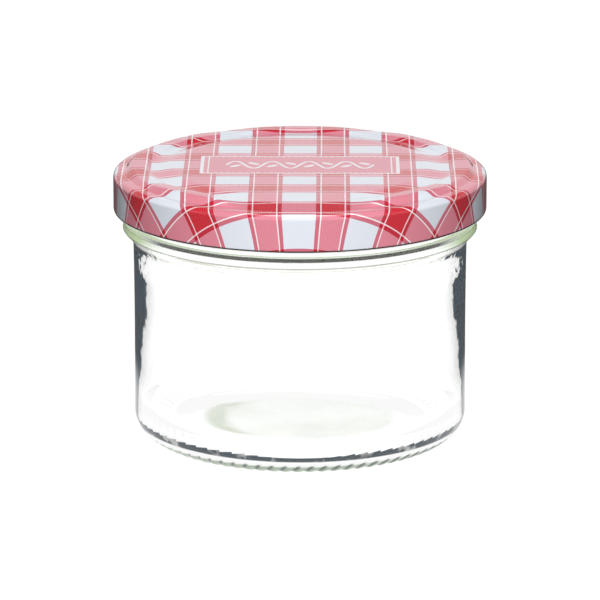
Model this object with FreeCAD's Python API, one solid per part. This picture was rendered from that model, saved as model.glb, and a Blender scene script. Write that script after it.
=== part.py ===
"""Squat clear glass preserving jar, closed with a printed tinplate twist-off lid.

Frame: millimetres, +Z up, the origin at the middle of the ring that the jar stands on.
Every piece is turned about the Z axis. Angles run from +X towards +Y, and the side of the
lid that faces the reader is at 270 degrees.
"""
import FreeCAD
import Part
import math
import os

# ---------------------------------------------------------------- driving sizes
STAND_TO_PANEL = 63.8      # from the stand to the flat middle of the lid
LID_RADIUS = 43.0          # outside of the skirt
LID_DEPTH = 10.2           # from the flat middle to the lower edge of the skirt
SHEET = 0.3                # tinplate with its lacquer

# lid: pressed ring between the flat middle and the skirt, measured in from the skirt
FLAT_INSET = 14.0          # the flat middle ends here
GROOVE_INSET = 9.2         # middle of the groove inside the glass rim
GROOVE_FLOOR = 0.8         # width of the floor of the groove
GROOVE_DEPTH = 0.65
STEP_INSET = 7.0           # the groove has risen to the ridge here
RIDGE_INSET = 4.3          # outer edge of the ridge over the rim
RIDGE_HEIGHT = 0.25        # mean height over the flat middle
RIDGE_WAVE = 0.3           # the ridge rises and falls by this much at the front of the lid
RIDGE_LOBES = 5            # waves round the lid, which fade out towards its back
FRONT_ANGLE = 270.0        # low place of the wave, where the groove fades out too
GROOVE_FADE = 22.0         # half of the arc, in degrees, over which the groove is faded
SHELF_INSET = 2.4          # inner edge of the shelf outside the ridge
SHELF_DROP = 1.1
SHELF_SLOPE = 0.25         # the shelf falls by this much on its way to the fold
FOLD_RADIUS = 1.15         # round turn from the shelf down into the skirt

# lid: rolled edge and lugs
CURL_RADIUS = 0.75
LUG_COUNT = 6
LUG_REACH = 2.9            # from the outside of the skirt to the tip of a lug
LUG_ARC = 15.0             # degrees
LUG_THICKNESS = 1.0
LUG_BEVEL = 0.2            # share of its thickness that is bevelled off above and below
LUG_TRIM = 0.2             # share of a half wave that is trimmed off each end
LUG_RISE = 0.3             # from the lower edge of the lid to the underside of a lug
LUG_FIRST_ANGLE = 0.0

# sealing compound under the ridge
SEAL_THICKNESS = 0.85      # between the flat middle's underside and the glass rim
SEAL_SIDE_GAP = 0.2        # short of the edges of the rim and of the ridge
SEAL_FIT = 0.02            # between the compound and the tinplate

# glass: finish under the lid
FINISH_GAP = 3.2           # from the inside of the skirt to the wall of the finish
RIM_ROUND = 0.7
THREAD_REACH = 1.5         # thread ridge, out from the wall of the finish
THREAD_HEIGHT = 1.5
THREAD_CREST = (0.25, 0.55)  # shares of its height between which it stands out furthest
THREAD_TRIM = 0.12         # share of a half wave that is trimmed off each end
THREAD_ARC = 34.0          # degrees
THREAD_LEVEL = 0.45        # share of the arc that is level, over the lug
THREAD_AHEAD = 0.25        # share of the arc that lies ahead of the middle of its lug
THREAD_RISE = 1.1          # from its low end to its high end
THREAD_CLEARANCE = 0.3     # over a seated lug
THREAD_ROOT = 0.6          # sunk into the wall of the finish

# glass: transfer bead, body and base
BEAD_GAP = 1.5             # from the lower edge of the lid to the top of the bead
BEAD_HEIGHT = 2.5          # straight part of the bead
BEAD_REACH = 1.3           # out from the wall of the finish
BEAD_TOP_ROUND = 0.9
BEAD_FALL = 2.5            # from the straight part down to the body
BODY_INSET = 2.3           # body in from the bead
BODY_WAIST = 0.15          # the side of the body is hollow by this much
HEEL_RADIUS = 6.4
STAND_WIDTH = 1.8          # flat ring that the jar stands on
WALL_FINISH = 3.3
WALL_SHOULDER = 2.9
WALL_HEEL = 2.0
FLOOR_THICKNESS = 2.8
INNER_FILLET = 6.5
PUNT_HEIGHT = 2.4          # hollow under the base
PUNT_SLOPE = 8.0           # width of its sloping edge
PUNT_CROWN = 0.5           # extra rise at the middle

# how finely the shapes are worked out
SECTIONS = 40              # profiles of the pressed ring round the lid
RELIEF_STEP = 1.0          # between the points of one profile
SLOPE_STEP = 0.001         # over which the slope of the pressed ring is measured
RIB_STEP = 4.0             # degrees between the profiles of a lug or a thread start
JOIN_TOLERANCE = 0.001     # where the pressed ring meets the turned skirt

# ---------------------------------------------------------------- derived sizes
FINISH_RADIUS = LID_RADIUS - SHEET - FINISH_GAP
RIM_TOP = STAND_TO_PANEL - SHEET - SEAL_THICKNESS
BORE_RADIUS = FINISH_RADIUS - WALL_FINISH
LID_EDGE = STAND_TO_PANEL - LID_DEPTH
LUG_TOP = LID_EDGE + LUG_RISE + LUG_THICKNESS
BEAD_RADIUS = FINISH_RADIUS + BEAD_REACH
BEAD_TOP = LID_EDGE - BEAD_GAP
BEAD_LOW = BEAD_TOP - BEAD_HEIGHT
BODY_RADIUS = BEAD_RADIUS - BODY_INSET
BODY_TOP = BEAD_LOW - BEAD_FALL
STAND_RADIUS = BODY_RADIUS - HEEL_RADIUS
FLAT_RADIUS = LID_RADIUS - FLAT_INSET
SHELF_RADIUS = LID_RADIUS - SHELF_INSET
SHELF_HEIGHT = STAND_TO_PANEL - SHELF_DROP
DIAGONAL = math.sqrt(0.5)  # of a round turn of 90 degrees


def polar(radius, height, angle=0.0):
    return FreeCAD.Vector(radius * math.cos(angle), radius * math.sin(angle), height)


def line(start, end):
    return Part.makeLine(start, end)


def arc(start, middle, end):
    return Part.Arc(start, middle, end).toShape()


def quarter(middle_radius, middle_height, radius, out, up):
    """Round turn of 90 degrees; out and up are +1 or -1, for the side that it bulges to."""
    return arc(polar(middle_radius, middle_height + up * radius),
               polar(middle_radius + out * radius * DIAGONAL,
                     middle_height + up * radius * DIAGONAL),
               polar(middle_radius + out * radius, middle_height))


def crown(outer_radius, outer_height, inner_radius, rise):
    """Arc that starts at a low outer edge and is level where it ends, at a higher inner one."""
    width = outer_radius - inner_radius
    bend = (width ** 2 + rise ** 2) / (2 * rise)
    half = 0.5 * math.asin(width / bend)
    top = outer_height + rise
    middle = polar(inner_radius + bend * math.sin(half), top - bend * (1 - math.cos(half)))
    return arc(polar(outer_radius, outer_height), middle, polar(inner_radius, top))


def revolved(edges):
    """Surface or solid of revolution about Z."""
    chain = Part.Wire(Part.__sortEdges__(edges))
    profile = Part.Face(chain) if chain.isClosed() else chain
    return profile.revolve(FreeCAD.Vector(), FreeCAD.Vector(0, 0, 1), 360)


def swell(share, trim):
    """How far a rib stands out along its arc: a half wave with a trimmed start and end."""
    return math.sqrt(math.sin(math.pi * (trim + (1 - 2 * trim) * share)))


def rib(first_angle, span, section):
    """Solid along an arc round the axis: section(share) gives its (radius, height) corners."""
    profiles = []
    steps = round(span / RIB_STEP)
    for index in range(steps + 1):
        share = index / steps
        angle = math.radians(first_angle + span * share)
        corners = [polar(radius, height, angle) for radius, height in section(share)]
        profiles.append(Part.makePolygon(corners + corners[:1]))
    return Part.makeLoft(profiles, True, False, False)


def save(node, shape):
    assert shape.isValid() and len(shape.Solids) == 1, node
    shape.exportStep(os.path.join("parts", node + ".step"))
    print(node, "volume", round(shape.Volume), "faces", len(shape.Faces))


# ---------------------------------------------------------------- lid
def smooth(value):
    value = min(max(value, 0.0), 1.0)
    return value * value * (3.0 - 2.0 * value)


def from_front(angle):
    """Degrees from the front of the lid, between -180 and 180."""
    return (math.degrees(angle) - FRONT_ANGLE + 180.0) % 360.0 - 180.0


def relief(radius, angle):
    """Height of the pressed ring of the lid over the flat middle."""
    inset = LID_RADIUS - radius
    groove = -GROOVE_DEPTH * smooth(abs(from_front(angle)) / GROOVE_FADE)
    nearness = 0.5 + 0.5 * math.cos(math.radians(from_front(angle)))
    wave = math.cos(math.radians(RIDGE_LOBES * from_front(angle)))
    ridge = RIDGE_HEIGHT - RIDGE_WAVE * nearness * wave
    groove_inner = GROOVE_INSET + 0.5 * GROOVE_FLOOR
    groove_outer = GROOVE_INSET - 0.5 * GROOVE_FLOOR
    into_groove = smooth((FLAT_INSET - inset) / (FLAT_INSET - groove_inner))
    onto_ridge = smooth((groove_outer - inset) / (groove_outer - STEP_INSET))
    onto_shelf = smooth((RIDGE_INSET - inset) / (RIDGE_INSET - SHELF_INSET))
    height = groove * into_groove
    height += (ridge - height) * onto_ridge
    height += (-SHELF_DROP - height) * onto_shelf
    return height


def lid_top(radius, angle):
    return STAND_TO_PANEL + relief(radius, angle)


def lid_under(radius, angle):
    """Underside of the pressed ring, one thickness below its top along the normal."""
    rise = relief(radius + SLOPE_STEP, angle) - relief(radius - SLOPE_STEP, angle)
    slope = rise / (2 * SLOPE_STEP)
    return lid_top(radius, angle) - SHEET * math.hypot(1.0, slope)


def pressed_edge(surface, inner, outer, angle):
    """Smooth edge along a surface of the lid, with the same knots at every angle."""
    count = max(3, round((outer - inner) / RELIEF_STEP) + 1)
    shares = [index / (count - 1) for index in range(count)]
    radii = [inner + (outer - inner) * share for share in shares]
    spline = Part.BSplineCurve()
    points = [polar(radius, surface(radius, angle), angle) for radius in radii]
    spline.interpolate(Points=points, Parameters=shares)
    return spline.toShape()


def section_angles():
    return [2 * math.pi * index / SECTIONS for index in range(SECTIONS)]


def pressed_ring(surface):
    """One side of the pressed ring, from the flat middle out to the shelf."""
    edges = [Part.Wire([pressed_edge(surface, FLAT_RADIUS, SHELF_RADIUS, angle)])
             for angle in section_angles()]
    return Part.makeLoft(edges, False, False, True)


def flat_disc(ring):
    """Flat middle of the lid, bounded by the inner edge of the pressed ring."""
    rounds = [edge for edge in ring.Edges if edge.isClosed()]
    inner = min(rounds, key=lambda edge: edge.BoundBox.XLength)
    return Part.Face(Part.Wire([inner]))


def skirt():
    """Shelf, fold, skirt and rolled edge, out from the pressed ring and back in under it."""
    shelf_under = SHELF_HEIGHT - SHEET
    fold_middle = LID_RADIUS - FOLD_RADIUS
    fold_height = SHELF_HEIGHT - SHELF_SLOPE - FOLD_RADIUS
    inner = LID_RADIUS - SHEET
    curl_middle = LID_EDGE + CURL_RADIUS
    curl_end = curl_middle + math.sqrt(CURL_RADIUS ** 2 - (CURL_RADIUS - SHEET) ** 2)
    return revolved([
        line(polar(SHELF_RADIUS, SHELF_HEIGHT), polar(fold_middle, SHELF_HEIGHT - SHELF_SLOPE)),
        quarter(fold_middle, fold_height, FOLD_RADIUS, 1, 1),
        line(polar(LID_RADIUS, fold_height), polar(LID_RADIUS, curl_middle)),
        arc(polar(LID_RADIUS, curl_middle), polar(LID_RADIUS - 2 * CURL_RADIUS, curl_middle),
            polar(inner, curl_end)),
        line(polar(inner, curl_end), polar(inner, fold_height)),
        quarter(fold_middle, fold_height, FOLD_RADIUS - SHEET, 1, 1),
        line(polar(fold_middle, shelf_under - SHELF_SLOPE), polar(SHELF_RADIUS, shelf_under)),
    ])


def lug(first_angle):
    """Part of the rolled edge that is pressed in to grip under a thread start."""
    root = LID_RADIUS - CURL_RADIUS
    low = LID_EDGE + LUG_RISE

    bevel = LUG_BEVEL * LUG_THICKNESS

    def section(share):
        tip = root - (LUG_REACH - CURL_RADIUS) * swell(share, LUG_TRIM)
        return [(root, low), (tip, low + bevel), (tip, LUG_TOP - bevel), (root, LUG_TOP)]

    return rib(first_angle, LUG_ARC, section)


def make_lid():
    top = pressed_ring(lid_top)
    under = pressed_ring(lid_under)
    pieces = [under, skirt(), flat_disc(top), flat_disc(under)]
    joined, _ = top.generalFuse(pieces, JOIN_TOLERANCE)
    shell = Part.makeShell(joined.Faces)
    shell.sewShape()
    sheet = Part.makeSolid(Part.Shell(shell.Faces))
    if sheet.Volume < 0:
        sheet.reverse()
    return sheet.fuse([lug(angle - 0.5 * LUG_ARC) for angle in lug_angles()])


def lug_angles():
    return [LUG_FIRST_ANGLE + index * 360.0 / LUG_COUNT for index in range(LUG_COUNT)]


def make_seal():
    """Ring of compound between the underside of the ridge and the glass rim."""
    inside = max(BORE_RADIUS, LID_RADIUS - STEP_INSET) + SEAL_SIDE_GAP
    outside = min(FINISH_RADIUS, LID_RADIUS - RIDGE_INSET) - SEAL_SIDE_GAP

    def seal_top(radius, angle):
        return lid_under(radius, angle) - SEAL_FIT

    profiles = []
    for angle in section_angles():
        profiles.append(Part.Wire([
            pressed_edge(seal_top, inside, outside, angle),
            line(polar(outside, seal_top(outside, angle), angle), polar(outside, RIM_TOP, angle)),
            line(polar(outside, RIM_TOP, angle), polar(inside, RIM_TOP, angle)),
            line(polar(inside, RIM_TOP, angle), polar(inside, seal_top(inside, angle), angle)),
        ]))
    return Part.makeLoft(profiles, True, False, True)


# ---------------------------------------------------------------- glass
def double_turn(top_radius, top_height, low_radius, low_height):
    """Round turn in and hollow turn down between two upright walls, as two equal arcs."""
    inset = top_radius - low_radius
    drop = top_height - low_height
    turn = 2 * math.atan2(inset, drop)
    bend = drop / (2 * math.sin(turn))
    half = 0.5 * turn
    upper = polar(top_radius - bend * (1 - math.cos(half)), top_height - bend * math.sin(half))
    lower = polar(low_radius + bend * (1 - math.cos(half)), low_height + bend * math.sin(half))
    meet = polar(0.5 * (top_radius + low_radius), 0.5 * (top_height + low_height))
    return [arc(polar(top_radius, top_height), upper, meet),
            arc(meet, lower, polar(low_radius, low_height))]


def outer_wall():
    """Outside of the glass from the rim down to the ring that it stands on."""
    rim_low = RIM_TOP - RIM_ROUND
    bead_high = BEAD_TOP - BEAD_TOP_ROUND
    waist = polar(BODY_RADIUS - BODY_WAIST, 0.5 * (BODY_TOP + HEEL_RADIUS))
    return [
        quarter(FINISH_RADIUS - RIM_ROUND, rim_low, RIM_ROUND, 1, 1),
        line(polar(FINISH_RADIUS, rim_low), polar(FINISH_RADIUS, BEAD_TOP)),
        line(polar(FINISH_RADIUS, BEAD_TOP), polar(BEAD_RADIUS - BEAD_TOP_ROUND, BEAD_TOP)),
        quarter(BEAD_RADIUS - BEAD_TOP_ROUND, bead_high, BEAD_TOP_ROUND, 1, 1),
        line(polar(BEAD_RADIUS, bead_high), polar(BEAD_RADIUS, BEAD_LOW)),
        *double_turn(BEAD_RADIUS, BEAD_LOW, BODY_RADIUS, BODY_TOP),
        arc(polar(BODY_RADIUS, BODY_TOP), waist, polar(BODY_RADIUS, HEEL_RADIUS)),
        quarter(STAND_RADIUS, HEEL_RADIUS, HEEL_RADIUS, 1, -1),
    ]


def underside():
    """Standing ring and the shallow hollow inside it, in to the axis."""
    ring_inner = STAND_RADIUS - STAND_WIDTH
    flat_radius = ring_inner - PUNT_SLOPE
    return [
        line(polar(STAND_RADIUS, 0), polar(ring_inner, 0)),
        crown(ring_inner, 0, flat_radius, PUNT_HEIGHT),
        crown(flat_radius, PUNT_HEIGHT, 0, PUNT_CROWN),
    ]


def inner_wall():
    """Inside of the glass from the rim down to the middle of the floor."""
    floor = PUNT_HEIGHT + FLOOR_THICKNESS
    heel_inner = BODY_RADIUS - WALL_HEEL
    shoulder_inner = BODY_RADIUS - WALL_SHOULDER
    turn = heel_inner - INNER_FILLET
    rim_low = RIM_TOP - RIM_ROUND
    return [
        line(polar(0, PUNT_HEIGHT + PUNT_CROWN), polar(0, floor + PUNT_CROWN)),
        crown(turn, floor, 0, PUNT_CROWN),
        quarter(turn, floor + INNER_FILLET, INNER_FILLET, 1, -1),
        line(polar(heel_inner, floor + INNER_FILLET), polar(shoulder_inner, BODY_TOP)),
        line(polar(shoulder_inner, BODY_TOP), polar(BORE_RADIUS, BEAD_TOP)),
        line(polar(BORE_RADIUS, BEAD_TOP), polar(BORE_RADIUS, rim_low)),
        quarter(BORE_RADIUS + RIM_ROUND, rim_low, RIM_ROUND, -1, 1),
        line(polar(BORE_RADIUS + RIM_ROUND, RIM_TOP), polar(FINISH_RADIUS - RIM_ROUND, RIM_TOP)),
    ]


def thread_start(first_angle):
    """Short thread ridge, level over its lug and then rising, tapered at both ends."""
    low = LUG_TOP + THREAD_CLEARANCE
    root = FINISH_RADIUS - THREAD_ROOT
    crest_low, crest_high = (share * THREAD_HEIGHT for share in THREAD_CREST)

    def section(share):
        base = low + THREAD_RISE * smooth((share - THREAD_LEVEL) / (1 - THREAD_LEVEL))
        reach = FINISH_RADIUS + THREAD_REACH * swell(share, THREAD_TRIM)
        return [(root, base), (reach, base + crest_low),
                (reach, base + crest_high), (root, base + THREAD_HEIGHT)]

    return rib(first_angle, THREAD_ARC, section)


def make_jar():
    glass = revolved(outer_wall() + underside() + inner_wall())
    return glass.fuse([thread_start(angle - THREAD_AHEAD * THREAD_ARC) for angle in lug_angles()])


os.makedirs("parts", exist_ok=True)
save("glass_jar", make_jar())
save("twist_lid", make_lid())
save("sealing_ring", make_seal())
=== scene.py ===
"""Squat glass preserving jar with a printed tinplate lid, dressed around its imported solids.

Everything is in metres, +Z up, with the origin at the middle of the ring that the jar stands
on. The side of the lid from which its print reads faces -Y.
"""
import math

import bmesh
import bpy
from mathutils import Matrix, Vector, noise


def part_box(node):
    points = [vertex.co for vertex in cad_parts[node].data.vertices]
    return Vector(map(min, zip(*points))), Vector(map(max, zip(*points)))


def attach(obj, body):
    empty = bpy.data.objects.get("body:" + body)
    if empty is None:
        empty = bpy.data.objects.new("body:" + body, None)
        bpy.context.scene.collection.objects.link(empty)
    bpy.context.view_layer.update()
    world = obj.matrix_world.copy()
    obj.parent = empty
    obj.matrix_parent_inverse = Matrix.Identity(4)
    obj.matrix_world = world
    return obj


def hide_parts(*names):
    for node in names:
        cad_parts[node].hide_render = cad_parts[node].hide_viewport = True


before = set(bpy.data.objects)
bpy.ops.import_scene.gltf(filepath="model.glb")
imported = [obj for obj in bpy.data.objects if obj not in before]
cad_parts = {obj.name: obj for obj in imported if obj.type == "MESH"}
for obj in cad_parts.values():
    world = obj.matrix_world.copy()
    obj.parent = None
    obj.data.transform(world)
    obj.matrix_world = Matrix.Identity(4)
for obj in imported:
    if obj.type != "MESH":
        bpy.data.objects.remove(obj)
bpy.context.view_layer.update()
_, GLASS_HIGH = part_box("glass_jar")
LID_LOW, LID_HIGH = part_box("twist_lid")
SEAL_LOW, SEAL_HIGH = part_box("sealing_ring")

bl_info = {
    "name": "Preserving jar",
    "version": (1, 0, 0),
    "blender": (4, 5, 0),
    "location": "View3D > Sidebar > Jar",
    "description": "Builds a glass preserving jar with a checked twist-off lid",
    "category": "Object",
}

MM = 0.001
FULL_TURN = 2 * math.pi
TOUCHING = 1e-6
BODY = "root"


def length(name, default, description):
    """A size that a user may change."""
    return bpy.props.FloatProperty(name=name, default=default, description=description,
                                   unit="LENGTH", subtype="DISTANCE", precision=5)


def share(name, default, description):
    """A share, from none to all."""
    return bpy.props.FloatProperty(name=name, default=default, description=description,
                                   min=0.0, max=1.0)


def number(name, default, description):
    """A power, a brightness or another plain number."""
    return bpy.props.FloatProperty(name=name, default=default, description=description)


def count(name, default, description):
    """How many there are of something."""
    return bpy.props.IntProperty(name=name, default=default, description=description, min=1)


def turn(name, default, description):
    """An angle, with its default in degrees."""
    return bpy.props.FloatProperty(name=name, default=math.radians(default),
                                   description=description, subtype="ANGLE", unit="ROTATION")


def colour(name, default, description):
    """The colour of a finish or the tint of glass."""
    return bpy.props.FloatVectorProperty(name=name, default=default, description=description,
                                         subtype="COLOR", size=3, min=0.0, max=1.0)


# ------------------------ what a user may change
class GlassSizes(bpy.types.PropertyGroup):
    """Sizes of the glass. Wall names follow the outside from the rim down."""
    bore: length("Bore", 36.2 * MM, "Inner radius at the rim")
    finish: length("Finish", 39.5 * MM, "Outer radius of the neck under the lid")
    rim_round: length("Rim round", 0.7 * MM, "Rounding of the rim")
    bead_top: length("Bead top", 52.1 * MM, "Height of the top of the bead under the lid")
    bead_low: length("Bead low", 49.6 * MM, "Height at which the bead starts to fall")
    bead: length("Bead", 40.8 * MM, "Radius of the bead")
    bead_round: length("Bead round", 0.9 * MM, "Rounding of the top of the bead")
    body_top: length("Body top", 47.1 * MM, "Height at which the bead meets the body")
    body: length("Body", 38.5 * MM, "Radius of the body")
    waist: length("Waist", 0.15 * MM, "How hollow the side of the body is")
    heel: length("Heel", 6.4 * MM, "Rounding of the lower edge of the body")
    stand_width: length("Stand width", 1.8 * MM, "Width of the ring that the jar stands on")
    punt: length("Punt", 1.5 * MM, "Hollow under the base")
    punt_slope: length("Punt slope", 8.0 * MM, "Width of the slope of the hollow")
    crown: length("Crown", 0.3 * MM, "Extra rise at the middle of the hollow")
    floor: length("Floor", 2.3 * MM, "Thickness of the base")
    shoulder_wall: length("Shoulder wall", 2.9 * MM, "Wall under the bead")
    heel_wall: length("Heel wall", 2.0 * MM, "Wall above the heel")
    lower_bend: length("Lower bend", 21.0 * MM, "Height where the wall starts to thicken")
    upper_bend: length("Upper bend", 36.0 * MM, "Height where the wall is thick")
    fillet: length("Inner fillet", 6.5 * MM, "Rounding inside the heel")
    unevenness: length("Unevenness", 0.3 * MM, "How far the inside wanders from true round")
    seam: length("Parting line", 0.07 * MM, "How far the mould's parting line stands out")


class KnurlSizes(bpy.types.PropertyGroup):
    """Ring of small curved ribs on which the jar stands."""
    ribs: count("Ribs", 76, "Curved ribs round the stand")
    rise: length("Rise", 0.22 * MM, "How far a rib stands out")
    inner: length("Inner", 32.0 * MM, "Radius at which the ribs start")
    outer: length("Outer", 37.7 * MM, "Radius at which the ribs end")
    curve: share("Curve", 0.7, "How far the middle of a rib runs ahead, in rib spacings")
    fill: share("Fill", 0.5, "Share of the spacing that a rib fills")


class LidSizes(bpy.types.PropertyGroup):
    """Sizes of the pressed lid."""
    panel: length("Panel", GLASS_HIGH.z + 1.15 * MM, "Height of the flat middle")
    radius: length("Radius", LID_HIGH.x, "Outside of the skirt")
    edge: length("Edge", LID_LOW.z, "Height of the lower edge")
    sheet: length("Sheet", 0.3 * MM, "Thickness of the tinplate")
    flat: length("Flat", 29.0 * MM, "Radius of the flat middle")
    groove_start: length("Groove start", 33.4 * MM, "Inner edge of the groove's floor")
    groove_end: length("Groove end", 34.2 * MM, "Outer edge of the groove's floor")
    groove: length("Groove", 0.52 * MM, "Depth of the groove")
    step: length("Step", 36.0 * MM, "Radius at which the ridge starts")
    ridge_end: length("Ridge end", 38.7 * MM, "Radius at which the ridge ends")
    slope_start: length("Slope start", 35.4 * MM, "Radius where the slope at the front starts")
    front_start: length("Front start", 0.2 * MM, "Drop at the start of the slope at the front")
    fade: turn("Fade", 32.0, "Half of the arc at the front over which the groove fades out")
    front_plain: share("Front plain", 0.45, "Share of the fade that is all slope")
    shelf: length("Shelf", 40.6 * MM, "Radius at which the shelf starts")
    shelf_drop: length("Shelf drop", 1.1 * MM, "Shelf below the flat middle")
    shelf_slope: length("Shelf slope", 0.25 * MM, "Fall of the shelf out to the fold")
    join: length("Join", 0.01 * MM, "Step in radius where the pressed ring meets the shelf")
    fold: length("Fold", 1.15 * MM, "Rounding from the shelf into the skirt")
    curl: length("Curl", 0.75 * MM, "Radius of the rolled edge")
    lugs: count("Lugs", 6, "Lugs pressed into the rolled edge")
    lug_reach: length("Lug reach", 1.4 * MM, "How far a lug stands in from the rolled edge")
    lug_arc: turn("Lug arc", 15.0, "Arc of a lug")
    seal_inset: length("Seal inset", 0.2 * MM, "From the bore out to the compound")
    seal_gap: length("Seal gap", 0.01 * MM, "Clearance between the compound and the lid")


class PrintSizes(bpy.types.PropertyGroup):
    """The printed check and its panel, as it lies on the flat sheet before pressing."""
    period: length("Period", 15.24 * MM, "From one stripe to the next")
    stripe: length("Stripe", 3.81 * MM, "Half of the width of a stripe")
    line: length("Line", 2.71 * MM, "From the middle of a stripe to its white line")
    line_width: length("Line width", 0.29 * MM, "Width of a white line")
    thread: length("Thread", 0.42 * MM, "Spacing of the printed threads")
    yaw: turn("Yaw", 0.37, "Turn of the print on the lid")
    panel_long: length("Panel length", 22.9 * MM, "Half of the length of the panel")
    panel_high: length("Panel height", 8.6 * MM, "Half of the height of the panel")
    bar: length("Bar", 0.8 * MM, "Width of the white bar at each end of the panel")
    inner_line: length("Inner line", 21.05 * MM, "From the middle to the thin line by each bar")
    hairline: length("Hairline", 0.15 * MM, "Half of the width of the thin line")
    border: length("Border", 0.5 * MM, "Width of the panel's long borders")
    stitch: length("Stitch", 1.4 * MM, "Spacing of the stitches along the borders")
    vine_bend: length("Vine bend", 8.5 * MM, "From one bend of the vine to the next like it")
    vine_sway: length("Vine sway", 3.3 * MM, "How far the vine swings to each side")
    vine_stroke: length("Vine stroke", 0.7 * MM, "Thickness of the vine's stem")
    vine_half: length("Vine half", 17.0 * MM, "Half of the length of the vine")
    leaf_long: length("Leaf length", 1.6 * MM, "Half of the length of a leaf")
    leaf_wide: length("Leaf width", 0.7 * MM, "Half of the width of a leaf")
    sheet_span: length("Sheet span", 120.0 * MM, "Side of the square that the print is laid on")
    # The unprinted band it gives is painted near black as shade of the gap under the curl.
    bare_and_shaded_rim: length("Bare rim", 0.6 * MM, "Height of the rolled edge that stays unprinted")


class Finishes(bpy.types.PropertyGroup):
    """Colours of the print, the lacquer and the compound, and tints of the glass, most of them
    painted shade; the bare edge is darkened as painted shade too.
    """
    ground: colour("Ground", (0.77, 0.81, 0.88), "White cells of the check")
    pink: colour("Pink", (0.75, 0.225, 0.295), "Single stripes")
    red: colour("Red", (0.62, 0.014, 0.03), "Where two stripes cross")
    edge: colour("Stripe edge", (0.42, 0.03, 0.07), "Deepens the edges of the stripes")
    thread: colour("Thread", (0.98, 0.88, 0.90), "White lines and threads")
    panel_white: colour("Panel white", (0.86, 0.84, 0.88), "Borders and vine of the panel")
    # Bare rolled edge, painted near black as shade of the gap under the curl.
    bare_and_shaded_edge: colour("Bare edge", (0.05, 0.04, 0.042), "Rolled edge under the print")
    lacquer: colour("Lacquer", (0.80, 0.80, 0.77), "Inside of the lid")
    lacquer_mottle: colour("Lacquer mottle", (0.7, 0.7, 0.68), "Clouds in the lacquer")
    compound: colour("Compound", (0.86, 0.85, 0.81), "Sealing ring")
    compound_grain: colour("Compound grain", (0.7, 0.69, 0.64), "Grain of the sealing ring")
    glass: colour("Glass", (0.992, 0.998, 0.992), "Tint of the glass face on")
    # Near-black painted shade for the dark bands of the wall, the heel line and the rib flanks.
    glass_painted_dark: colour("Glass wall", (0.004, 0.007, 0.010), "Tint of the wall seen end on")
    glass_thick: colour("Thick glass", (0.24, 0.37, 0.14), "Tint of the bead from the side")
    # Near-black painted shade for the lines along the parting line and the top of the bead.
    painted_line_shade: colour("Olive glass", (0.010, 0.010, 0.008), "Tint of the top of the bead")
    # Green of thick glass at the foot, darkened into painted shade.
    glass_foot_tint_and_shade: colour("Foot glass", (0.10, 0.16, 0.08), "Tint of the foot of the heel")
    # Olive painted shade over the hollow base.
    glass_base_shade: colour("Base glass", (0.20, 0.24, 0.14), "Tint of the hollow base")


class StageSettings(bpy.types.PropertyGroup):
    """Camera, lights and table."""
    distance: length("Distance", 1.07, "From the camera to the middle of the lid")
    elevation: turn("Elevation", 13.48, "Of the camera over the lid")
    lens: number("Lens", 278.8, "Focal length in millimetres on a 36 mm sensor")
    aim_below: turn("Aim below", 1.667, "How far under the lid the camera points")
    front_light: number("Front light", 23.0, "Power of the softbox over the camera, in watts")
    front_width: length("Front width", 0.5, "Width of the softbox over the camera")
    rear_light: number("Rear light", 5.0, "Power of the softbox behind, in watts")
    rear_width: length("Rear width", 0.9, "Width of the softbox behind")
    box_height: length("Box height", 0.7, "Height of both softboxes")
    room: number("Room", 0.06, "Brightness of the room as a light")
    bounce: number("Bounce", 0.05, "Brightness of the table as a light")
    table_glow: number("Table glow", 0.95, "Brightness of the table to the camera")
    wall_end: turn("Wall end", 26.0, "Elevation up to which the room shows white")
    wall_top: turn("Wall top", 36.0, "Elevation at which the dark of the upper room starts")
    ceiling: share("Ceiling", 0.05, "How bright the upper room shows in a mirror")
    glass_ceiling: share("Ceiling in glass", 0.95, "How bright the upper room shows in glass")
    clear: number("Clear", 1.12, "Brightness of the room and the table seen through glass")
    lamp: number("Lamp", 8.0, "How bright the round light overhead shows in a mirror")
    table_dark: length("Table dark", 0.09, "Radius at which the table shows dark in a mirror")
    table: colour("Table", (0.12, 0.12, 0.12), "What the table gives back of the lamps")
    table_grain: colour("Table grain", (0.11, 0.11, 0.11), "Grain of the table")


GROUPS = {
    "jar_glass": GlassSizes,
    "jar_knurl": KnurlSizes,
    "jar_lid": LidSizes,
    "jar_print": PrintSizes,
    "jar_finish": Finishes,
    "jar_stage": StageSettings,
}


# ------------------------ shader building
class Wire:
    """An output of a shader node; arithmetic on it adds Math nodes."""

    def __init__(self, nodes, socket):
        self.nodes = nodes
        self.socket = socket

    def math(self, operation, *others):
        values = dict(enumerate((self, *others)))
        return self.nodes.add("ShaderNodeMath", {"operation": operation}, values)

    def __add__(self, other):
        return self.math("ADD", other)

    __radd__ = __add__

    def __mul__(self, other):
        return self.math("MULTIPLY", other)

    __rmul__ = __mul__

    def __sub__(self, other):
        return self.math("SUBTRACT", other)

    def __rsub__(self, other):
        return self.nodes.add("ShaderNodeMath", {"operation": "SUBTRACT"}, {0: other, 1: self})

    def __truediv__(self, other):
        return self.math("DIVIDE", other)

    def __lt__(self, other):
        return self.math("LESS_THAN", other)

    def __gt__(self, other):
        return self.math("GREATER_THAN", other)

    def __abs__(self):
        return self.math("ABSOLUTE")

    def root(self):
        return self.math("SQRT")

    def sine(self):
        return self.math("SINE")

    def cosine(self):
        return self.math("COSINE")

    def fract(self):
        return self.math("FRACT")

    def either(self, other):
        return self.math("MAXIMUM", other)

    def both(self, other):
        return self.math("MINIMUM", other)


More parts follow.
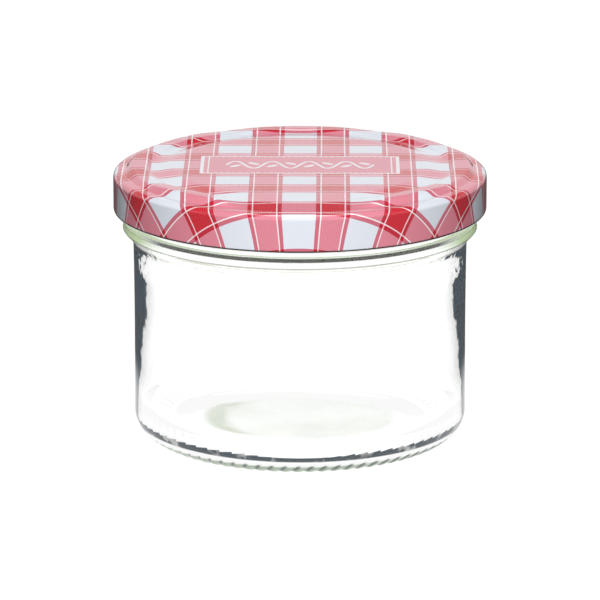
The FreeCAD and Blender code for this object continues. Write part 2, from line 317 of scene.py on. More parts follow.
class Nodes:
    """Node tree of a material or a world."""

    def __init__(self, tree):
        self.tree = tree
        tree.nodes.clear()

    def add(self, kind, settings=None, values=None, output=0):
        """Adds a node: its settings first, then the values or links of its sockets."""
        node = self.tree.nodes.new(kind)
        for name, value in (settings or {}).items():
            setattr(node, name, value)
        for name, value in (values or {}).items():
            if isinstance(value, Wire):
                self.tree.links.new(value.socket, node.inputs[name])
            else:
                node.inputs[name].default_value = value
        return Wire(self, node.outputs[output]) if len(node.outputs) else node

    def outputs(self, kind, names, values=None):
        """Adds a node and gives several of its outputs."""
        sockets = self.add(kind, None, values).socket.node.outputs
        return [Wire(self, sockets[name]) for name in names]

    def split(self, vector):
        """The X, Y and Z of a vector."""
        return self.outputs("ShaderNodeSeparateXYZ", "XYZ", {0: vector})

    def mix(self, factor, first, second):
        """Blends two colours; each is a colour or a wire."""
        values = {0: factor, 6: self.opaque(first), 7: self.opaque(second)}
        return self.add("ShaderNodeMix", {"data_type": "RGBA"}, values, output=2)

    @staticmethod
    def opaque(tint):
        return tint if isinstance(tint, Wire) else (*tint, 1.0)

    def ease(self, value, low, high):
        """0 below low, 1 above high and smooth between; low may be the larger one."""
        return self.add("ShaderNodeMapRange", {"interpolation_type": "SMOOTHSTEP"},
                        {0: value, 1: low, 2: high, 3: 0.0, 4: 1.0})

    def noise(self, vector, scale, detail=2.0):
        return self.add("ShaderNodeTexNoise", None,
                        {"Vector": vector, "Scale": scale, "Detail": detail})

    def object_point(self):
        return self.add("ShaderNodeTexCoord", output=3)

    def principled(self, values):
        """Ends a material with one Principled shader."""
        shader = self.add("ShaderNodeBsdfPrincipled", None, values)
        self.add("ShaderNodeOutputMaterial", None, {"Surface": shader})


def new_material(name):
    """An empty material and its nodes."""
    material = bpy.data.materials.new(name)
    material.use_nodes = True
    return material, Nodes(material.node_tree)


def grained_material(name, scale, depth, first, second, finish):
    """One colour with a fine grain of another; finish holds the constant sockets."""
    material, nodes = new_material(name)
    grain = nodes.noise(nodes.object_point(), scale)
    nodes.principled({"Base Color": nodes.mix(grain * depth, first, second), **finish})
    return material


def settings(group):
    """The group of settings that the scene holds under this name."""
    return getattr(bpy.context.scene, group)


# ------------------------ mesh building
def chain_of(mesh, corners):
    """Joins corners into a line in the XZ plane. A corner is (radius, height, cut, steps):
    cut is how far along both sides its rounding starts, and 0 leaves it sharp."""
    verts = [mesh.verts.new((radius, 0.0, height)) for radius, height, *_ in corners]
    for first, second in zip(verts, verts[1:]):
        mesh.edges.new((first, second))
    for vert, (_, _, cut, steps) in zip(verts, corners):
        if cut:
            bmesh.ops.bevel(mesh, geom=[vert], offset=cut, offset_type="OFFSET",
                            segments=steps, profile=0.5, affect="VERTICES", material=-1)


def line_ends(mesh):
    """The vertices at the ends of an open line."""
    return [vert for vert in mesh.verts if len(vert.link_edges) == 1]


def split_long_edges(mesh, longest, join=0.0):
    """Cuts the line's long edges, but not a step in height that is only a join wide."""
    for edge in list(mesh.edges):
        wide = abs(edge.verts[0].co.x - edge.verts[1].co.x)
        cuts = math.ceil(edge.calc_length() / longest) - 1
        if cuts > 0 and not 0.0 < wide < 1.5 * join:
            bmesh.ops.subdivide_edges(mesh, edges=[edge], cuts=cuts)


def walk(mesh):
    """The line's vertices in order, from the higher of its two ends."""
    here = max(line_ends(mesh), key=lambda vert: vert.co.z)
    line, edge = [here], None
    while True:
        onward = [link for link in here.link_edges if link is not edge]
        if not onward:
            return line
        edge = onward[0]
        here = edge.other_vert(here)
        line.append(here)


def spin_round(mesh, steps):
    """Turns the line about Z into a closed skin with outward faces."""
    bmesh.ops.spin(mesh, geom=mesh.verts[:] + mesh.edges[:], axis=(0, 0, 1), cent=(0, 0, 0),
                   angle=FULL_TURN, steps=steps, use_merge=True)
    bmesh.ops.remove_doubles(mesh, verts=mesh.verts, dist=TOUCHING)
    bmesh.ops.recalc_face_normals(mesh, faces=mesh.faces)


def polar(place):
    """Radius and angle of a point about Z."""
    return math.hypot(place.x, place.y), math.atan2(place.y, place.x)


def finish_piece(mesh, name, materials, slot, *nodes):
    """Makes an object of the bmesh, smooth shaded, in place of the CAD nodes named."""
    data = bpy.data.meshes.new(name)
    mesh.to_mesh(data)
    mesh.free()
    for polygon in data.polygons:
        polygon.use_smooth = True
    for material in materials:
        data.materials.append(material)
    piece = bpy.data.objects.new(name, data)
    bpy.context.scene.collection.objects.link(piece)
    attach(piece, BODY)
    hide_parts(*nodes)


def smooth(value):
    """Eases a value from 0 to 1."""
    value = min(max(value, 0.0), 1.0)
    return value * value * (3.0 - 2.0 * value)


def between(value, low, high):
    """How far a value has come from low to high, smoothly, from 0 to 1."""
    return smooth((value - low) / (high - low))


def from_front(angle):
    """Angle from the front of the lid, between half a turn either way."""
    return (angle + math.pi / 2 + math.pi) % FULL_TURN - math.pi


# ------------------------ glass
STEPS_PER_RIB = 8
LONGEST_GLASS_EDGE = 2.6 * MM

# Density of the wander of the inside from place to place, and the share of the finer one.
BROAD_WANDER, FINE_WANDER, FINE_SHARE = 38.0, 110.0, 0.35

# Painted shade for the dark of refraction in the wall: where it starts, from 0 for glass face on
# to 1 for glass end on, and how that changes between two heights in millimetres.
WALL_START = 0.79
WALL_CHANGES = ((12, 21, -0.07), (22, 36, -0.10), (39.5, 42, 0.085), (44.5, 46.5, -0.07),
                (8.5, 4.5, 0.04))
# Scale, detail and strength of the waves in that edge, and of the streaks near the shoulder.
WALL_WAVES = ((55.0, 3.0, 0.07), (420.0, 2.0, 0.08))
STREAK_SCALE, STREAK_LEVEL, STREAK_STRENGTH = 800.0, 0.42, 0.36
# Half of the width of that edge, and the width and strength of the paler fringe before it.
EDGE_SOFTNESS, FRINGE_WIDTH, FRINGE_STRENGTH = 0.02, 0.12, 0.35

# Scale and strength of the painted shade in clouds at the left of the base and all over it, and
# the even painted shade that is there without them.
LEFT_CLOUDS, BASE_CLOUDS, EVEN_BASE_SHADE = (150.0, 1.4), (60.0, 0.7), 0.2
# Height of a tooth of the painted dark line of shade at the heel, its fall to the sides, the
# scale of the paler patches in it, and its strength there.
TOOTH, HEEL_FALL, PATCH_SCALE, PATCH_LEAST = 0.45 * MM, 0.010, 260.0, 0.75
# The dark flank of a rib in rib spacings: its middle, half of its width at its edge and
# where it is full, and its strength.
FLANK_MIDDLE, FLANK_EDGE, FLANK_FULL, FLANK_STRENGTH = 0.22, 0.17, 0.08, 0.9
# How often a ray may turn, and be mirrored, in the glass before it counts as plain light.
MOST_TURNS, MOST_MIRRORS, PLAIN_LIGHT = 6.5, 1.5, 0.95


def glass_corners(size):
    """Outline of the glass from the middle of the floor inside to the middle beneath it."""
    floor = size.punt + size.floor
    inner_heel = size.body - size.heel_wall
    inner_shoulder = size.body - size.shoulder_wall
    rim = GLASS_HIGH.z
    stand_inner = size.body - size.heel - size.stand_width
    slope_end = stand_inner - size.punt_slope
    seam_half = 1.6 * size.seam
    return [
        (0.0, floor, 0, 0),
        (inner_heel, floor, size.fillet, 11),
        (inner_heel - 0.1 * MM, size.lower_bend, 5 * MM, 5),
        (inner_shoulder - 0.25 * MM, size.upper_bend, 5 * MM, 6),
        (inner_shoulder + 0.1 * MM, size.body_top, 2 * MM, 6),
        (size.bore, size.bead_top, 2 * MM, 4),
        (size.bore, rim, size.rim_round, 5),
        (size.finish, rim, size.rim_round, 5),
        (size.finish, size.bead_top, 0.35 * MM, 3),
        (size.bead, size.bead_top, size.bead_round, 8),
        (size.bead, size.bead_low + seam_half, 0, 0),
        (size.bead + size.seam, size.bead_low, 0, 0),
        (size.bead, size.bead_low - seam_half, 0.6 * MM, 3),
        (size.body, size.body_top, 1.5 * MM, 6),
        (size.body, 0.0, size.heel, 22),
        (stand_inner, 0.0, 0.8 * MM, 4),
        (slope_end, size.punt, 4.0 * MM, 6),
        (0.0, size.punt + size.crown, 0, 0),
    ]


def waist_depth(height, size):
    """How far the side of the body is drawn in at a height."""
    middle = 0.5 * (size.body_top + size.heel)
    half = 0.5 * (size.body_top - size.heel)
    part = (height - middle) / half
    return size.waist * (1 - part * part)


def wander(place, radius, size):
    """How far the inside of the wall lies from true round, which blown glass never quite is.
    It is true at the middle of the floor, low in the heel and in the neck."""
    broad = noise.noise(Vector((place.x, place.y, 0.6 * place.z)) * BROAD_WANDER)
    fine = noise.noise(place * FINE_WANDER + Vector((7, 3, 5)))
    fade = between(radius, 0.25 * size.body, 0.8 * size.body)
    fade *= 1 - between(place.z, size.body_top, size.bead_top)
    fade *= between(place.z, size.heel, 3 * size.heel)
    return size.unevenness * (broad + FINE_SHARE * fine) * fade


def rib_hollow(radius, angle, knurl):
    """How far the glass lies under the tops of the ribs of the stand."""
    on_ring = between(radius, knurl.inner, knurl.inner + 0.5 * MM)
    on_ring *= 1 - between(radius, knurl.outer - 0.6 * MM, knurl.outer)
    middle = 0.5 * (knurl.inner + knurl.outer)
    half = 0.5 * (knurl.outer - knurl.inner)
    ahead = knurl.curve * (1 - ((radius - middle) / half) ** 2)
    phase = (angle / (FULL_TURN / knurl.ribs) + ahead) % 1.0
    return knurl.rise * on_ring * (1 - smooth(1 - abs(phase - 0.5) / knurl.fill))


def shape_glass(mesh, size, knurl):
    """Draws in the waist, lets the inside wander and sinks the glass between the ribs."""
    inside = size.body - 0.5 * size.heel_wall
    over_base = size.punt + size.crown + 0.1 * MM
    for vert in mesh.verts:
        radius, angle = polar(vert.co)
        height = vert.co.z
        if radius < TOUCHING:
            continue
        outward = Vector((vert.co.x, vert.co.y, 0.0)) / radius
        if radius > inside and size.heel < height < size.body_top:
            vert.co -= outward * waist_depth(height, size)
        if radius < inside and over_base < height < size.bead_top:
            vert.co += outward * wander(vert.co, radius, size)
        if height < 0.6 * size.heel and vert.normal.z < 0:
            vert.co -= vert.normal * rib_hollow(radius, angle, knurl)


def painted_base_shade(nodes, point, x, radius, height):
    """Painted shade over the hollow under the base, in clouds, deepest at the left near its rim.
    """
    size = settings("jar_glass")
    disc = nodes.ease(radius, 24.5 * MM, 20.5 * MM) * (height < size.punt + size.crown + 0.2 * MM)
    left = nodes.ease(radius, 15.0 * MM, 20.5 * MM) * nodes.ease(x, -9 * MM, -18 * MM)
    base_shade = left * nodes.noise(point, LEFT_CLOUDS[0]) * LEFT_CLOUDS[1]
    base_shade = base_shade + nodes.noise(point, BASE_CLOUDS[0]) * BASE_CLOUDS[1] + EVEN_BASE_SHADE
    return disc * base_shade.both(1.0)


def painted_wall_shade(nodes, point, facing, height):
    """Painted shade where the wall is seen along its length, set by Layer Weight facing and
    height; it stands in for the dark of refraction.
    """
    start = WALL_START
    for low, high, change in WALL_CHANGES:
        start = nodes.ease(height, low * MM, high * MM) * change + start
    for scale, detail, strength in WALL_WAVES:
        start = start + (nodes.noise(point, scale, detail) - 0.5) * strength
    streaks = nodes.noise(point, STREAK_SCALE, 1.0) - STREAK_LEVEL
    start = start + streaks * nodes.ease(height, 39 * MM, 43 * MM) * STREAK_STRENGTH
    past = facing - start
    band = nodes.ease(past, -EDGE_SOFTNESS, EDGE_SOFTNESS)
    fringe = nodes.ease(past, -FRINGE_WIDTH, 0.0) * FRINGE_STRENGTH
    return band.either(fringe)


def painted_lid_shade_line(nodes, facing, height):
    """Painted shade: the dark line along the top of the bead under the lid's edge, which thins
    out towards the sides.
    """
    top = settings("jar_glass").bead_top
    band = nodes.ease(height, top - 1.2 * MM, top - 0.9 * MM)
    band = band * nodes.ease(height, top - 0.05 * MM, top - 0.25 * MM)
    return band * (1 - nodes.ease(facing, 0.35, 0.6) * 0.8)


def painted_heel_line(nodes, point, x, height, turned):
    """Painted shade: the dark line round the heel, standing in for the dark of refraction, with a
    tooth over each rib and lower at the sides.
    """
    teeth = turned.fract() * nodes.ease(abs(x), 4 * MM, 14 * MM) * TOOTH
    lower = height - abs(x) * HEEL_FALL - teeth
    line = nodes.ease(height, 3.6 * MM, 4.0 * MM) * nodes.ease(lower, 5.1 * MM, 4.8 * MM)
    patches = nodes.ease(nodes.noise(point, PATCH_SCALE, 3.0), 0.30, 0.48)
    return line * (patches * (1 - PATCH_LEAST) + PATCH_LEAST)


def rib_flanks(nodes, radius, height, turned):
    """The side of each rib of the stand that turns away from the light."""
    knurl = settings("jar_knurl")
    middle = 0.5 * (knurl.inner + knurl.outer)
    half = 0.5 * (knurl.outer - knurl.inner)
    off = (radius - middle) / half
    phase = (turned + (1 - off * off) * knurl.curve).fract()
    flank = nodes.ease(abs(phase - FLANK_MIDDLE), FLANK_EDGE, FLANK_FULL) * FLANK_STRENGTH
    ring = nodes.ease(radius, 33.5 * MM, 34.2 * MM) * nodes.ease(radius, 37.5 * MM, 36.9 * MM)
    return flank * ring * nodes.ease(height, 3.2 * MM, 2.4 * MM)


def glass_shade(nodes):
    """Tint of the glass: its own green where the bead is seen from the side, and painted shade
    standing in for the dark of refraction along the wall, the bead, the parting line, the heel,
    the foot and the ribs, and over the base.
    """
    tint, size = settings("jar_finish"), settings("jar_glass")
    point = nodes.object_point()
    x, y, height = nodes.split(point)
    radius = (x * x + y * y).root()
    turned = y.math("ARCTAN2", x) * (settings("jar_knurl").ribs / FULL_TURN)
    facing = nodes.add("ShaderNodeLayerWeight", None, {"Blend": 0.5}, output=1)
    leaving = nodes.add("ShaderNodeNewGeometry", output=6)
    entering = 1 - leaving
    outer = (radius > size.body - 0.4 * size.heel_wall) * entering

    wall = outer * nodes.ease(height, size.body_top + 1.2 * MM, size.body_top)
    bead = outer * nodes.ease(height, size.bead_low - 0.5 * MM, size.bead_low)
    # Painted shade: a dark line along the mould's parting line.
    seam = outer * nodes.ease(abs(height - size.bead_low), 0.24 * MM, 0.08 * MM)
    # The foot of the heel: green of thick glass, darkened with painted shade.
    foot = nodes.ease(height, 2.7 * MM, 2.0 * MM) * nodes.ease(radius, 32.5 * MM, 33.5 * MM)
    # Darker tints of the glass: the bead's green is the glass's own, the rest is painted shade.
    deeper = (
        (leaving * painted_base_shade(nodes, point, x, radius, height), tint.glass_base_shade),
        (wall * painted_wall_shade(nodes, point, facing, height), tint.glass_painted_dark),
        (bead * nodes.ease(facing, 0.25, 0.6), tint.glass_thick),
        (seam * 0.75, tint.painted_line_shade),
        (outer * painted_lid_shade_line(nodes, facing, height), tint.painted_line_shade),
        (outer * painted_heel_line(nodes, point, x, height, turned), tint.glass_painted_dark),
        (entering * foot, tint.glass_foot_tint_and_shade),
        (entering * rib_flanks(nodes, radius, height, turned), tint.glass_painted_dark),
    )
    shade = tint.glass
    for part, deep in deeper:
        shade = nodes.mix(part, shade, deep)
    return shade


def glass_material():
    """Clear glass that lets light through to its shadow, and gives back as plain light what
    has been turned about in it too often to follow."""
    material, nodes = new_material("clear_container_glass")
    body = nodes.add("ShaderNodeBsdfPrincipled", None, {
        "Base Color": glass_shade(nodes),
        "Roughness": 0.0,
        "IOR": 1.51,
        "Transmission Weight": 1.0,
    })
    clear = nodes.add("ShaderNodeBsdfTransparent", None, {"Color": (0.95, 0.97, 0.96, 1)})
    spread = nodes.add("ShaderNodeEmission", None, {
        "Color": (1, 1, 1, 1), "Strength": PLAIN_LIGHT})
    shadow, depth, mirrored = nodes.outputs("ShaderNodeLightPath", (
        "Is Shadow Ray", "Ray Depth", "Glossy Depth"))
    trapped = (depth > MOST_TURNS).either(mirrored > MOST_MIRRORS)
    body = nodes.add("ShaderNodeMixShader", None, {0: trapped, 1: body, 2: spread})
    surface = nodes.add("ShaderNodeMixShader", None, {0: shadow, 1: body, 2: clear})
    nodes.add("ShaderNodeOutputMaterial", None, {"Surface": surface})
    return material


class JAR_OT_glass(bpy.types.Operator):
    """Turn the glass with its bead, heel, hollow base and knurled stand"""
    bl_idname = "jar.glass"
    bl_label = "Glass jar"

    def execute(self, context):
        size, knurl = settings("jar_glass"), settings("jar_knurl")
        mesh = bmesh.new()
        chain_of(mesh, glass_corners(size))
        split_long_edges(mesh, LONGEST_GLASS_EDGE)
        spin_round(mesh, knurl.ribs * STEPS_PER_RIB)
        mesh.normal_update()
        shape_glass(mesh, size, knurl)
        finish_piece(mesh, "jar_of_glass", [glass_material()], "clear_glass", "glass_jar")
        return {"FINISHED"}


# ------------------------ lid
LID_STEPS = 300
LONGEST_LID_EDGE = 0.45 * MM
LONGEST_SEAL_EDGE = 0.5 * MM
# A face of the lid is printed if it looks up at least this much and lies this far up.
LOOKS_UP, OVER_CURL = 0.02, 4 * MM

# Height of the ridge in millimetres at angles away from the front; both sides are alike.
RIDGE_HEIGHTS = ((0, -0.2), (17, 0.06), (27, 0.36), (36, 0.45), (46, 0.5), (60, 0.14), (73, 0.06),
                 (86, 0.24), (107, 0.32), (124, 0.18), (139, 0.26), (152, 0.0), (166, 0.2),
                 (180, 0.22))

# Shares of the threads that run each way, and the density of the specks between them.
THREADS_ACROSS, THREADS_UP, SPECK = 0.55, 0.45, 900.0
# How strongly threads show on bare sheet, what each stripe takes off that, and how strongly
# they show on the panel.
GRAIN, GRAIN_UNDER_INK, PANEL_GRAIN = 0.48, 0.16, 0.06
# How strongly a stripe's edges deepen, a stripe dims a white line, and a stitch shows.
EDGE_DEPTH, LINE_DIMMING, STITCH_DEPTH = 0.3, 0.3, 0.6
# Cosine and sine of the slant of a leaf, and how far it stands off the stem, in sways.
LEAF_COSINE, LEAF_SINE, LEAF_OFFSET = 0.75, 0.66, 0.35


def lid_corners(size):
    """Outline of the tinplate from the middle of its top, round the edge and back inside."""
    inner = size.radius - size.sheet
    shelf = size.panel - size.shelf_drop
    fold = shelf - size.shelf_slope
    curl_inner = size.radius - 2 * size.curl
    curl_top = size.edge + 2 * size.curl
    return [
        (0.0, size.panel, 0, 0),
        (size.flat, size.panel, 0, 0),
        (size.shelf - size.join, size.panel, 0, 0),
        (size.shelf, shelf, 0, 0),
        (size.radius, fold, size.fold, 8),
        (size.radius, size.edge, 0.95 * size.curl, 6),
        (curl_inner, size.edge, 0.95 * size.curl, 6),
        (curl_inner, curl_top, 0.5 * size.curl, 4),
        (inner, curl_top, 0, 0),
        (inner, fold - size.sheet, size.fold - size.sheet, 5),
        (size.shelf, shelf - size.sheet, 0, 0),
        (size.shelf - size.join, size.panel - size.sheet, 0, 0),
        (size.flat, size.panel - size.sheet, 0, 0),
        (0.0, size.panel - size.sheet, 0, 0),
    ]


def ridge_height(away):
    """Height of the ridge over the flat middle, eased from one listed height to the next."""
    degrees = math.degrees(abs(away))
    for (start, low), (end, high) in zip(RIDGE_HEIGHTS, RIDGE_HEIGHTS[1:]):
        if degrees <= end:
            return (low + (high - low) * between(degrees, start, end)) * MM
    return RIDGE_HEIGHTS[-1][1] * MM


def relief(radius, angle, size):
    """Height of the pressed ring over the flat middle."""
    away = from_front(angle)
    height = -size.groove * smooth(abs(away) / size.fade)
    height *= between(radius, size.flat, size.groove_start)
    height += (ridge_height(away) - height) * between(radius, size.groove_end, size.step)
    height += (-size.shelf_drop - height) * between(radius, size.ridge_end, size.shelf)
    front = 1 - between(abs(away), size.front_plain * size.fade, size.fade)
    if front:
        slope = -size.front_start * between(radius, size.flat, size.slope_start)
        run = (radius - size.slope_start) / (size.shelf - size.slope_start)
        slope -= (size.shelf_drop - size.front_start) * max(0.0, run)
        height += (slope - height) * front
    return height


def lay_print(mesh, size, layer):
    """Stores on the line how far from its middle the print lay on the flat sheet. Drawing
    the sheet down into the skirt keeps its area."""
    line = walk(mesh)
    square = 0.0
    for before, here in zip(line, line[1:]):
        run = (here.co - before.co).length
        if max(here.co.x, before.co.x) < size.shelf + size.join:
            run = abs(here.co.x - before.co.x)
        square += (before.co.x + here.co.x) * run
        here[layer] = math.sqrt(square)


def mark_sides(mesh, size, layer):
    """Gives the outside the print and the inside the lacquer."""
    skirt = size.radius - 0.5 * size.sheet
    for vert in mesh.verts:
        if polar(vert.co)[0] < TOUCHING:
            vert[layer] = 0.0
    for face in mesh.faces:
        middle = face.calc_center_median()
        on_skirt = polar(middle)[0] > skirt
        on_top = face.normal.z > LOOKS_UP and middle.z > size.edge + OVER_CURL
        face.material_index = 0 if on_skirt or on_top else 1


def press_lid(mesh, size):
    """Presses the groove, the ridge and the slope into the middle of the lid."""
    for vert in mesh.verts:
        radius, angle = polar(vert.co)
        if radius < size.shelf - 0.5 * size.join:
            vert.co.z += relief(radius, angle, size)


def tuck_lugs(mesh, size):
    """Presses the inner side of the rolled edge in to form the lugs."""
    spacing = FULL_TURN / size.lugs
    over_curl = size.edge + 2.2 * size.curl
    for vert in mesh.verts:
        radius, angle = polar(vert.co)
        if vert.co.z > over_curl or radius > size.radius - size.curl:
            continue
        off = abs((angle + 0.5 * spacing) % spacing - 0.5 * spacing)
        reach = size.lug_reach * (1 - between(off, 0.35 * size.lug_arc, 0.5 * size.lug_arc))
        vert.co.x *= (radius - reach) / radius
        vert.co.y *= (radius - reach) / radius


def print_layout(mesh, layer, design):
    """UV map that holds the place of each point on the flat printed sheet."""
    uv = mesh.loops.layers.uv.new("print_sheet")
    for face in mesh.faces:
        for loop in face.loops:
            angle = polar(loop.vert.co)[1] + design.yaw
            far = loop.vert[layer] / design.sheet_span
            loop[uv].uv = (0.5 + far * math.cos(angle), 0.5 + far * math.sin(angle))


def stripes(along, design):
    """Ink of the stripes across one direction, their woven cores and their white lines."""
    from_middle = abs(((along / design.period).fract() - 0.5) * design.period)
    stripe = from_middle < design.stripe
    line_inner = from_middle > design.line - 0.5 * design.line_width
    line_outer = from_middle < design.line + 0.5 * design.line_width
    line = line_inner.both(line_outer)
    core = from_middle < design.line
    return stripe * (1 - line), core, line


def flourish(across, up, design):
    """Plain running vine for the middle of the panel: a wavy stem with a leaf in each bend."""
    pace = FULL_TURN / design.vine_bend
    stem = (across * pace).sine() * design.vine_sway
    lean = (across * pace).cosine() * (pace * design.vine_sway)
    near = abs(up - stem) / (lean * lean + 1.0).root() < 0.5 * design.vine_stroke
    half = 0.5 * design.vine_bend
    step = across / half
    place = (step.fract() - 0.5) * half
    side = (step.math("FLOOR") * math.pi).cosine()
    lift = up + side * (LEAF_OFFSET * design.vine_sway)
    along = (place * LEAF_COSINE + lift * side * LEAF_SINE) / design.leaf_long
    thin = (lift * side * LEAF_COSINE - place * LEAF_SINE) / design.leaf_wide
    leaf = along * along + thin * thin < 1.0
    return near.either(leaf) * (abs(across) < design.vine_half)


def check_colours(nodes, sheet, across, up):
    """The woven-looking check over the whole sheet, and the grain of its threads."""
    design, tint = settings("jar_print"), settings("jar_finish")
    ink_x, core_x, line_x = stripes(across, design)
    ink_y, core_y, line_y = stripes(up, design)
    threads = ((across / design.thread).fract() < 0.5) * THREADS_ACROSS
    threads = threads + ((up / design.thread).fract() < 0.5) * THREADS_UP
    grain = (threads + nodes.noise(sheet, SPECK, 1.0) - 1.0) * core_x.either(core_y)
    ink = ink_x + ink_y
    show = (grain * (GRAIN - ink * GRAIN_UNDER_INK)).both(1.0).either(0.0)
    edges = (ink_x * (1 - core_x)).either(ink_y * (1 - core_y))
    lines = line_x.either(line_y)
    base = nodes.mix(nodes.ease(ink, 0.0, 1.0), tint.ground, tint.pink)
    base = nodes.mix(nodes.ease(ink, 1.0, 2.0), base, tint.red)
    base = nodes.mix(show, base, tint.thread)
    base = nodes.mix(edges * EDGE_DEPTH, base, tint.edge)
    base = nodes.mix(lines * (1 - ink * LINE_DIMMING), base, tint.thread)
    return base, grain


def panel_colours(nodes, grain, across, up):
    """Where the panel lies on the sheet, and its cloth, bars, borders, stitches and vine."""
    design, tint = settings("jar_print"), settings("jar_finish")
    half_long, half_high = design.panel_long, design.panel_high
    in_panel = (abs(across) < half_long).both(abs(up) < half_high)
    bars = abs(across) > half_long - design.bar
    borders = abs(up) > half_high - design.border
    inner_line = abs(abs(across) - design.inner_line) < design.hairline
    stitches = ((across / design.stitch).fract() < 0.5).both(
        abs(up) > half_high - 2.0 * design.border)
    white = bars.either(borders).either(inner_line).either(stitches * STITCH_DEPTH)
    white = white.either(flourish(across, up, design))
    cloth = nodes.mix(grain.either(0.0) * PANEL_GRAIN, tint.pink, tint.thread)
    return in_panel, nodes.mix(white, cloth, tint.panel_white)


def print_material():
    """Glossy print over the outside of the lid, down to the bare rolled edge, which is darkened
    near black as painted shade of the gap under the curl.
    """
    design, tint = settings("jar_print"), settings("jar_finish")
    material, nodes = new_material("printed_tinplate_outside")
    sheet = nodes.add("ShaderNodeUVMap", {"uv_map": "print_sheet"})
    across, up, _ = nodes.split(sheet)
    across = (across - 0.5) * design.sheet_span
    up = (up - 0.5) * design.sheet_span
    base, grain = check_colours(nodes, sheet, across, up)
    in_panel, panel = panel_colours(nodes, grain, across, up)
    base = nodes.mix(in_panel, base, panel)
    _, _, height = nodes.split(nodes.object_point())
    rim = settings("jar_lid").edge + design.bare_and_shaded_rim
    # Bare rolled edge, darkened near black as painted shade of the gap under the curl.
    base = nodes.mix(nodes.ease(height, rim + 0.25 * MM, rim), base, tint.bare_and_shaded_edge)
    nodes.principled({"Base Color": base, "Roughness": 0.09})
    return material


def lacquer_material():
    """White lacquer, which shines a little of its own so that it shows through the glass."""
    tint = settings("jar_finish")
    return grained_material("white_lacquer_inside", 400.0, 0.1, tint.lacquer,
                            tint.lacquer_mottle, {
                                "Roughness": 0.3,
                                "Emission Color": (1.0, 1.0, 0.97, 1.0),
                                "Emission Strength": 0.6,
                            })


class JAR_OT_lid(bpy.types.Operator):
    """Press the printed lid with its ring, fold, rolled edge and lugs"""
    bl_idname = "jar.lid"
    bl_label = "Twist-off lid"

    def execute(self, context):
        size, design = settings("jar_lid"), settings("jar_print")
        mesh = bmesh.new()
        layer = mesh.verts.layers.float.new("print_radius")
        chain_of(mesh, lid_corners(size))
        split_long_edges(mesh, LONGEST_LID_EDGE, size.join)
        lay_print(mesh, size, layer)
        spin_round(mesh, LID_STEPS)
        mark_sides(mesh, size, layer)
        press_lid(mesh, size)
        tuck_lugs(mesh, size)
        print_layout(mesh, layer, design)
        finish_piece(mesh, "lid_of_tinplate", [print_material(), lacquer_material()],
                     "printed_tinplate", "twist_lid")
        return {"FINISHED"}


# ------------------------ sealing ring
def seal_section(mesh, size):
    """Closed outline of the ring of compound, from the foot of its inner side."""
    inside = settings("jar_glass").bore + size.seal_inset
    lower, upper = 0.02 * MM, 0.1 * MM
    chain_of(mesh, [
        (inside, SEAL_LOW.z, lower, 2),
        (inside, SEAL_HIGH.z, upper, 3),
        (SEAL_HIGH.x, SEAL_HIGH.z, upper, 3),
        (SEAL_HIGH.x, SEAL_LOW.z, lower, 2),
    ])
    mesh.edges.new(line_ends(mesh))


def fit_under_lid(mesh, size):
    """Lowers the top of the ring to the underside of the pressed lid."""
    middle = 0.5 * (SEAL_LOW.z + SEAL_HIGH.z)
    for vert in mesh.verts:
        under = size.panel - size.sheet - size.seal_gap + relief(*polar(vert.co), size)
        if vert.co.z > middle:
            vert.co.z = min(vert.co.z, under)


def compound_material():
    """Matt cream compound."""
    tint = settings("jar_finish")
    return grained_material("cream_sealing_compound", 700.0, 0.2, tint.compound,
                            tint.compound_grain, {"Roughness": 0.6})


class JAR_OT_seal(bpy.types.Operator):
    """Lay the ring of compound between the rim and the pressed lid"""
    bl_idname = "jar.seal"
    bl_label = "Sealing ring"

    def execute(self, context):
        size = settings("jar_lid")
        mesh = bmesh.new()
        seal_section(mesh, size)
        split_long_edges(mesh, LONGEST_SEAL_EDGE)
        spin_round(mesh, LID_STEPS)
        fit_under_lid(mesh, size)
        finish_piece(mesh, "ring_of_compound", [compound_material()], "sealing_compound",
                     "sealing_ring")
        return {"FINISHED"}


# ------------------------ stage
SENSOR_WIDTH = 36.0
LIT_POINT = Vector((0.0, 0.0, 0.05))
OVER_THE_CAMERA = Vector((0.0, -1.1, 0.9))
FROM_BEHIND = Vector((0.0, 1.1, 1.0))
TABLE_SIZE = 3.0
# Sine of the elevation at which the round light overhead starts, and at which it is full.
LAMP_EDGE, LAMP_FULL = 0.94, 0.965


def place_camera(stage, lid):
    """Puts the camera in front of the jar and over it, aimed a little under the lid."""
    eye = Vector((0.0, -math.cos(stage.elevation), math.sin(stage.elevation))) * stage.distance
    camera = bpy.data.objects.new("camera", bpy.data.cameras.new("camera"))
    camera.location = eye + Vector((0.0, 0.0, lid.panel))
    camera.rotation_euler = (math.pi / 2 - stage.elevation - stage.aim_below, 0.0, 0.0)
    camera.data.lens = stage.lens
    camera.data.sensor_width = SENSOR_WIDTH
    bpy.context.scene.collection.objects.link(camera)
    bpy.context.scene.camera = camera


def add_softbox(name, place, width, height, power):
    """A lit panel turned to the jar, which neither mirrors nor glass show."""
    lamp = bpy.data.lights.new(name, "AREA")
    lamp.shape = "RECTANGLE"
    lamp.size = width
    lamp.size_y = height
    lamp.energy = power
    box = bpy.data.objects.new(name, lamp)
    box.location = place
    box.rotation_euler = (LIT_POINT - place).to_track_quat("-Z", "Y").to_euler()
    box.visible_glossy = False
    box.visible_transmission = False
    bpy.context.scene.collection.objects.link(box)


def ray_kinds(nodes):
    """1 for rays straight from the camera, off a mirror and out of glass."""
    camera, glossy, through = nodes.outputs("ShaderNodeLightPath", (
        "Is Camera Ray", "Is Glossy Ray", "Is Transmission Ray"))
    return camera, glossy * (1 - through), through


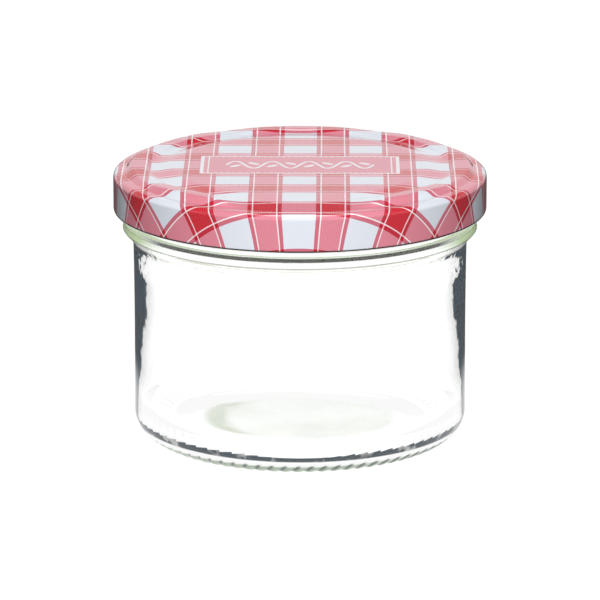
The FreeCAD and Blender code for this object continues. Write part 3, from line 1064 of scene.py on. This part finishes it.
def light_world(stage):
    """A bright room with a darker upper part and a round light overhead."""
    world = bpy.data.worlds.new("studio")
    world.use_nodes = True
    bpy.context.scene.world = world
    nodes = Nodes(world.node_tree)
    camera, mirror, through = ray_kinds(nodes)
    _, _, up = nodes.split(nodes.add("ShaderNodeTexCoord", output=0))
    wall = nodes.ease(up, math.sin(stage.wall_top), math.sin(stage.wall_end))
    lamp = nodes.ease(up, LAMP_EDGE, LAMP_FULL) * stage.lamp
    mirrored = wall * (1 - stage.ceiling) + stage.ceiling + lamp
    in_glass = (wall * (1 - stage.glass_ceiling) + stage.glass_ceiling) * stage.clear
    level = mirrored * mirror + (1 - mirror) * (1 - through) * stage.room
    level = (level + in_glass * through).either(camera)
    room = nodes.add("ShaderNodeBackground", None, {"Color": (1, 1, 1, 1), "Strength": level})
    nodes.add("ShaderNodeOutputWorld", None, {"Surface": room})


def table_material(stage):
    """A table that shows white to the camera and still takes the shadow of the jar."""
    material, nodes = new_material("white_table")
    camera, mirror, through = ray_kinds(nodes)
    point = nodes.object_point()
    x, y, _ = nodes.split(point)
    far = (x * x + y * y).root()
    lit = 1 - nodes.ease(far, 0.6 * stage.table_dark, stage.table_dark)
    seen = camera.either(through * stage.clear).either(mirror * lit)
    others = (1 - camera.either(mirror).either(through)) * stage.bounce
    grain = nodes.noise(point, 300.0) * 0.1
    top = nodes.add("ShaderNodeBsdfDiffuse", None, {
        "Color": nodes.mix(grain, stage.table, stage.table_grain)})
    glow = nodes.add("ShaderNodeEmission", None, {
        "Color": (1, 1, 1, 1), "Strength": seen * stage.table_glow + others})
    both = nodes.add("ShaderNodeAddShader", None, {0: top, 1: glow})
    nodes.add("ShaderNodeOutputMaterial", None, {"Surface": both})
    return material


def lay_table(stage):
    """Lays the table under the jar as part of the stage."""
    mesh = bmesh.new()
    bmesh.ops.create_grid(mesh, x_segments=8, y_segments=8, size=TABLE_SIZE)
    data = bpy.data.meshes.new("table")
    mesh.to_mesh(data)
    mesh.free()
    data.materials.append(table_material(stage))
    floor = bpy.data.objects.new("table", data)
    bpy.context.scene.collection.objects.link(floor)


class JAR_OT_stage(bpy.types.Operator):
    """Set the camera, the lights and the white table"""
    bl_idname = "jar.stage"
    bl_label = "Stage"

    def execute(self, context):
        stage, lid = settings("jar_stage"), settings("jar_lid")
        place_camera(stage, lid)
        light_world(stage)
        lay_table(stage)
        add_softbox("over_the_camera", OVER_THE_CAMERA, stage.front_width, stage.box_height,
                    stage.front_light)
        add_softbox("from_behind", FROM_BEHIND, stage.rear_width, stage.box_height,
                    stage.rear_light)
        context.scene.view_settings.view_transform = "Standard"
        return {"FINISHED"}


class JAR_PT_pieces(bpy.types.Panel):
    """Pieces and sizes of the preserving jar"""
    bl_idname = "JAR_PT_pieces"
    bl_label = "Preserving jar"
    bl_space_type = "VIEW_3D"
    bl_region_type = "UI"
    bl_category = "Jar"

    def draw(self, context):
        for operator in OPERATORS:
            self.layout.operator(operator.bl_idname)
        for group, kind in GROUPS.items():
            box = self.layout.box()
            box.label(text=kind.__name__)
            for name in kind.__annotations__:
                box.prop(getattr(context.scene, group), name)


OPERATORS = (JAR_OT_stage, JAR_OT_glass, JAR_OT_lid, JAR_OT_seal)
CLASSES = (*GROUPS.values(), *OPERATORS, JAR_PT_pieces)


def register():
    for kind in CLASSES:
        bpy.utils.register_class(kind)
    for name, kind in GROUPS.items():
        setattr(bpy.types.Scene, name, bpy.props.PointerProperty(type=kind))


def unregister():
    for name in GROUPS:
        delattr(bpy.types.Scene, name)
    for kind in reversed(CLASSES):
        bpy.utils.unregister_class(kind)


def main():
    register()
    bpy.ops.jar.stage()
    bpy.ops.jar.glass()
    bpy.ops.jar.lid()
    bpy.ops.jar.seal()


if __name__ == "__main__":
    main()
